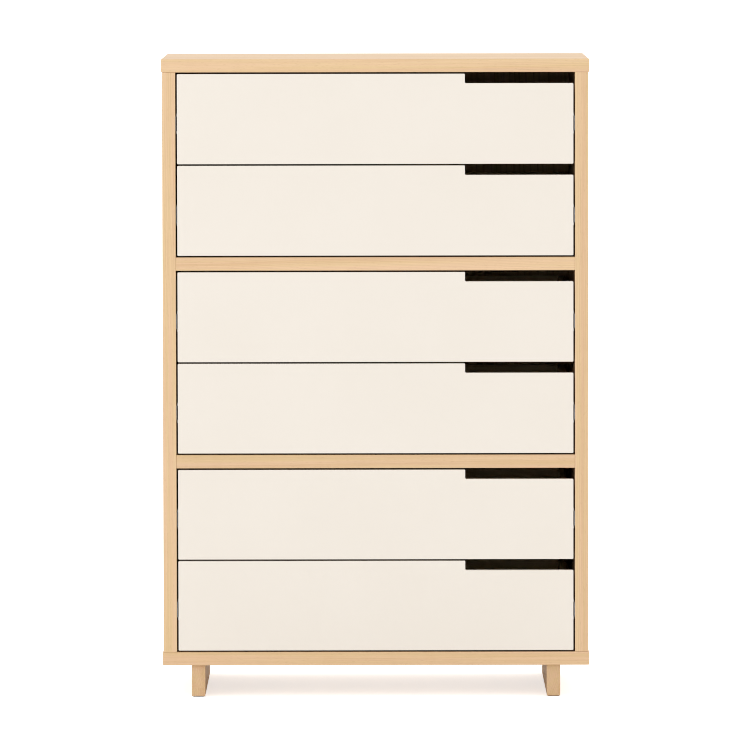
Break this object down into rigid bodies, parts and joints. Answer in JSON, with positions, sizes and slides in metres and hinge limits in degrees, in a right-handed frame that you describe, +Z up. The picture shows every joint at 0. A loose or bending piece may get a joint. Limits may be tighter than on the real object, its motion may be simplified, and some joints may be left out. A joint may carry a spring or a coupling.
{
  "type": "chest of drawers",
  "caption": "Tall maple chest with flush cream drawer fronts, a finger notch at the right of each, ball-bearing slides and full-depth plank legs.",
  "frame": {"origin": "on the floor, under the middle of the chest", "axes": "+Z up, -Y out of the front, the way the drawers open, +X to the right of someone who faces the front"},
  "size_m": [0.9, 0.51, 1.347],
  "materials": {
    "maple": "pale straight-grained maple, satin clear coat",
    "cream_lacquer": "sprayed cream lacquer over board, satin",
    "birch_ply": "sanded pale birch, thin matt clear coat",
    "back_ply": "maple-faced plywood, matt",
    "zinc_steel": "rolled steel, bright zinc plated",
    "felt": "pressed brown felt"
  },
  "bodies": {
    "case": {"top_panel": "maple", "bottom_panel": "maple", "left_side": "maple", "right_side": "maple", "upper_divider": "maple", "lower_divider": "maple", "back_panel": "back_ply", "left_leg": "maple", "right_leg": "maple", "left_leg_front_pad": "felt", "left_leg_back_pad": "felt", "right_leg_front_pad": "felt", "right_leg_back_pad": "felt", "drawer_1_left_case_rail": "zinc_steel", "drawer_1_right_case_rail": "zinc_steel", "drawer_2_left_case_rail": "zinc_steel", "drawer_2_right_case_rail": "zinc_steel", "drawer_3_left_case_rail": "zinc_steel", "drawer_3_right_case_rail": "zinc_steel", "drawer_4_left_case_rail": "zinc_steel", "drawer_4_right_case_rail": "zinc_steel", "drawer_5_left_case_rail": "zinc_steel", "drawer_5_right_case_rail": "zinc_steel", "drawer_6_left_case_rail": "zinc_steel", "drawer_6_right_case_rail": "zinc_steel"},
    "drawer_1": {"drawer_1_front": "cream_lacquer", "drawer_1_box": "birch_ply", "drawer_1_bottom": "birch_ply", "drawer_1_left_drawer_rail": "zinc_steel", "drawer_1_right_drawer_rail": "zinc_steel"},
    "drawer_2": {"drawer_2_front": "cream_lacquer", "drawer_2_box": "birch_ply", "drawer_2_bottom": "birch_ply", "drawer_2_left_drawer_rail": "zinc_steel", "drawer_2_right_drawer_rail": "zinc_steel"},
    "drawer_3": {"drawer_3_front": "cream_lacquer", "drawer_3_box": "birch_ply", "drawer_3_bottom": "birch_ply", "drawer_3_left_drawer_rail": "zinc_steel", "drawer_3_right_drawer_rail": "zinc_steel"},
    "drawer_4": {"drawer_4_front": "cream_lacquer", "drawer_4_box": "birch_ply", "drawer_4_bottom": "birch_ply", "drawer_4_left_drawer_rail": "zinc_steel", "drawer_4_right_drawer_rail": "zinc_steel"},
    "drawer_5": {"drawer_5_front": "cream_lacquer", "drawer_5_box": "birch_ply", "drawer_5_bottom": "birch_ply", "drawer_5_left_drawer_rail": "zinc_steel", "drawer_5_right_drawer_rail": "zinc_steel"},
    "drawer_6": {"drawer_6_front": "cream_lacquer", "drawer_6_box": "birch_ply", "drawer_6_bottom": "birch_ply", "drawer_6_left_drawer_rail": "zinc_steel", "drawer_6_right_drawer_rail": "zinc_steel"}
  },
  "joints": [
    {"name": "drawer_1_slide", "type": "slide", "parent": "case", "child": "drawer_1", "axis": [0, -1, 0], "range_m": [0, 0.34]},
    {"name": "drawer_2_slide", "type": "slide", "parent": "case", "child": "drawer_2", "axis": [0, -1, 0], "range_m": [0, 0.34]},
    {"name": "drawer_3_slide", "type": "slide", "parent": "case", "child": "drawer_3", "axis": [0, -1, 0], "range_m": [0, 0.34]},
    {"name": "drawer_4_slide", "type": "slide", "parent": "case", "child": "drawer_4", "axis": [0, -1, 0], "range_m": [0, 0.34]},
    {"name": "drawer_5_slide", "type": "slide", "parent": "case", "child": "drawer_5", "axis": [0, -1, 0], "range_m": [0, 0.34]},
    {"name": "drawer_6_slide", "type": "slide", "parent": "case", "child": "drawer_6", "axis": [0, -1, 0], "range_m": [0, 0.34]}
  ]
}
